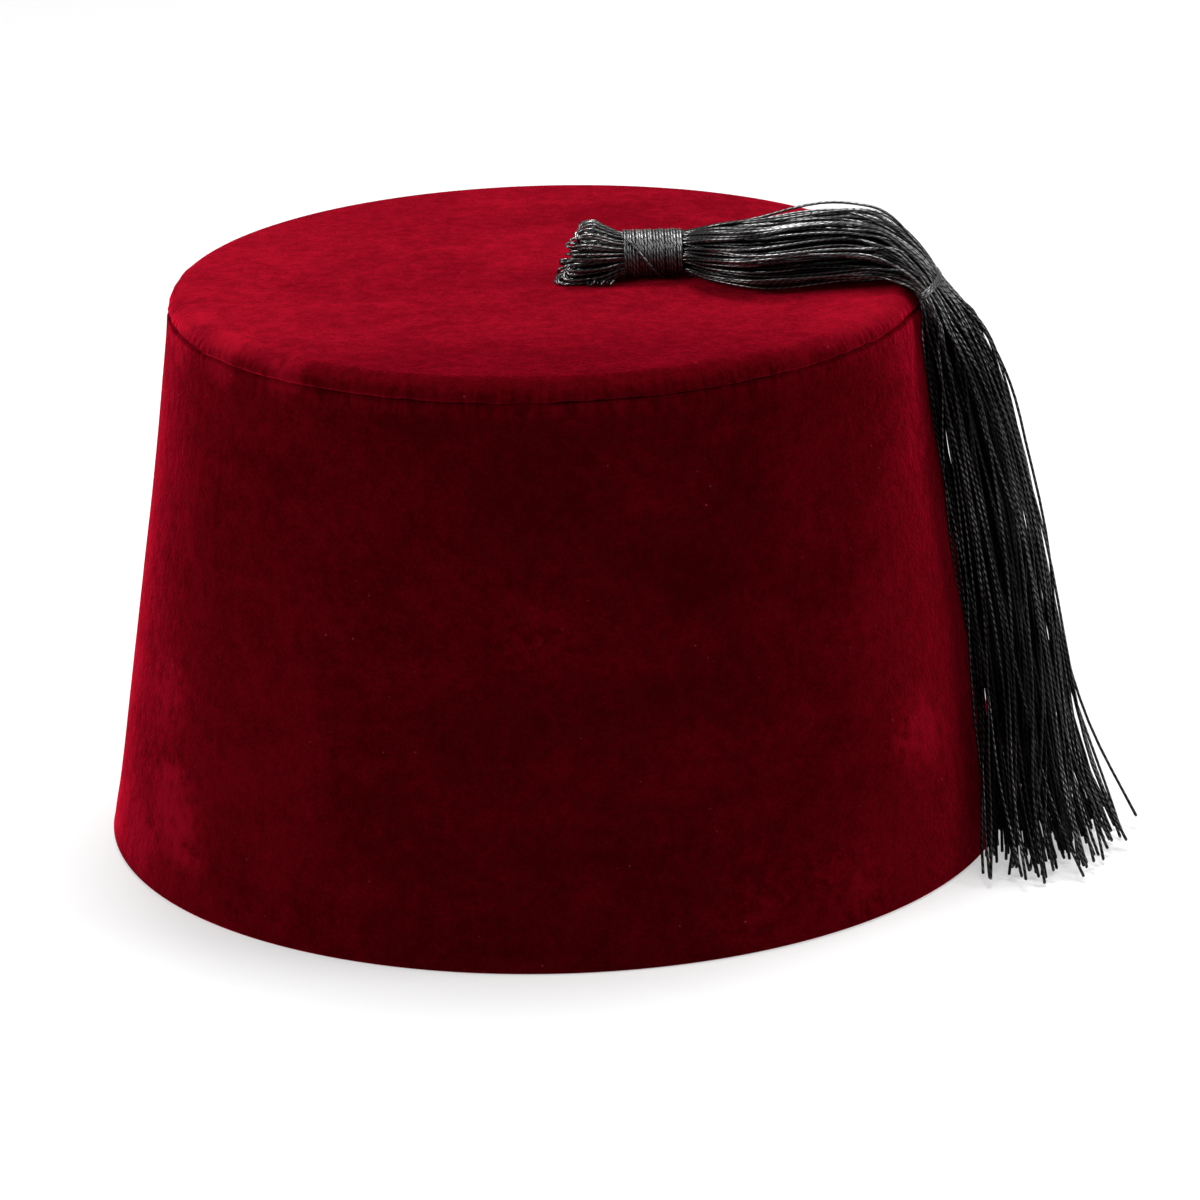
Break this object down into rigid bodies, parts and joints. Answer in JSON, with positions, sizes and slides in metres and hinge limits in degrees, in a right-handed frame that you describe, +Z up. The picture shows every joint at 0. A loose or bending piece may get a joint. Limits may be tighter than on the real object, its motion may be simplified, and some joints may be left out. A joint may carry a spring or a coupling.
{
  "type": "fez hat",
  "caption": "Stiff tapering velvet hat with a flat top, open below for the head, and a black corded tassel that lies on the top and hangs down one side.",
  "frame": {"origin": "centre of the rim, on the plane that the hat stands on", "axes": "+Z up along the crown's axis, +X towards the side that the tassel hangs down, -Y towards the front of the picture"},
  "size_m": [0.2087, 0.1898, 0.1314],
  "materials": {
    "velvet": "deep red short-pile velvet, brighter where it is seen along the pile",
    "tassel_cord": "black twisted satin cord with small bright highlights along the twist",
    "binding_thread": "fine black thread wound in close turns"
  },
  "bodies": {
    "root": {"crown_side": "velvet", "crown_top": "velvet", "tassel_strands": "tassel_cord", "tassel_binding": "binding_thread", "tassel_tie": "binding_thread"}
  },
  "joints": []
}
